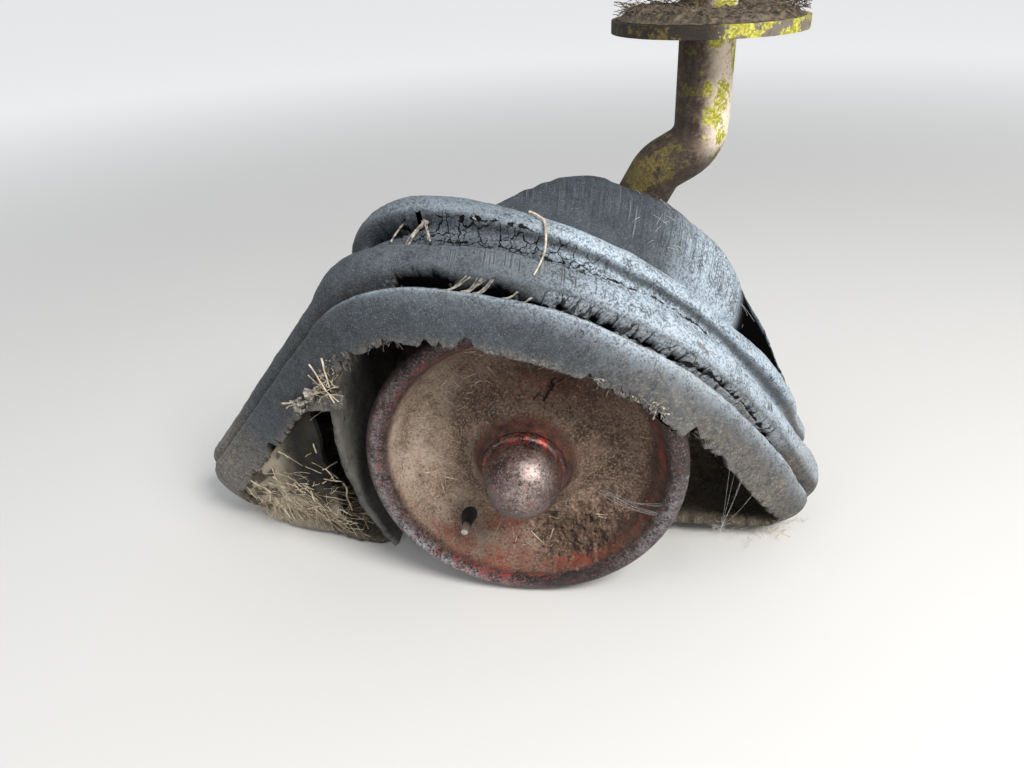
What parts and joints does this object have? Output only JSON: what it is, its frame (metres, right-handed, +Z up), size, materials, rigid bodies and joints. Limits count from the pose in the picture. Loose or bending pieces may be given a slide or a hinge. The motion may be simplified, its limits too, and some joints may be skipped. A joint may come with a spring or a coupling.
{
  "type": "hay tedder wheel with torn tyre on its cranked leg",
  "caption": "Small implement wheel with a pressed dished rim, its torn tyre slumped around it, on a cranked tube leg with a round top plate and spigot.",
  "frame": {"origin": "centre of the round plate's top face, on the leg's spigot axis", "axes": "+Z up along the spigot, the wheel's outer face towards -Y, the crank's offset along X"},
  "size_m": [0.5112, 0.2539, 0.4754],
  "materials": {
    "yellow_green_paint": "flaking paint over rust",
    "red_paint": "worn paint, rust and dust",
    "bare_steel": "old greased steel",
    "perished_rubber": "cracked, weathered and dusty",
    "black_rubber": "matt",
    "valve_metal": "tarnished"
  },
  "bodies": {
    "leg": {"leg_tube": "yellow_green_paint", "leg_plate": "yellow_green_paint", "leg_arm": "yellow_green_paint", "axle_boss": "yellow_green_paint", "stub_axle": "bare_steel", "dust_collar": "bare_steel", "axle_nut": "bare_steel", "tyre_casing": "perished_rubber"},
    "wheel": {"rim_front": "red_paint", "rim_back": "red_paint", "hub_tube": "red_paint", "bearing_front": "bare_steel", "bearing_back": "bare_steel", "hub_cap": "red_paint", "valve_stem": "black_rubber", "valve_tip": "valve_metal"}
  },
  "joints": [
    {"name": "wheel_spin", "type": "hinge", "parent": "leg", "child": "wheel", "pos_m": [-0.12, -0.11, -0.27], "axis": [0, 1, 0], "continuous": true}
  ]
}
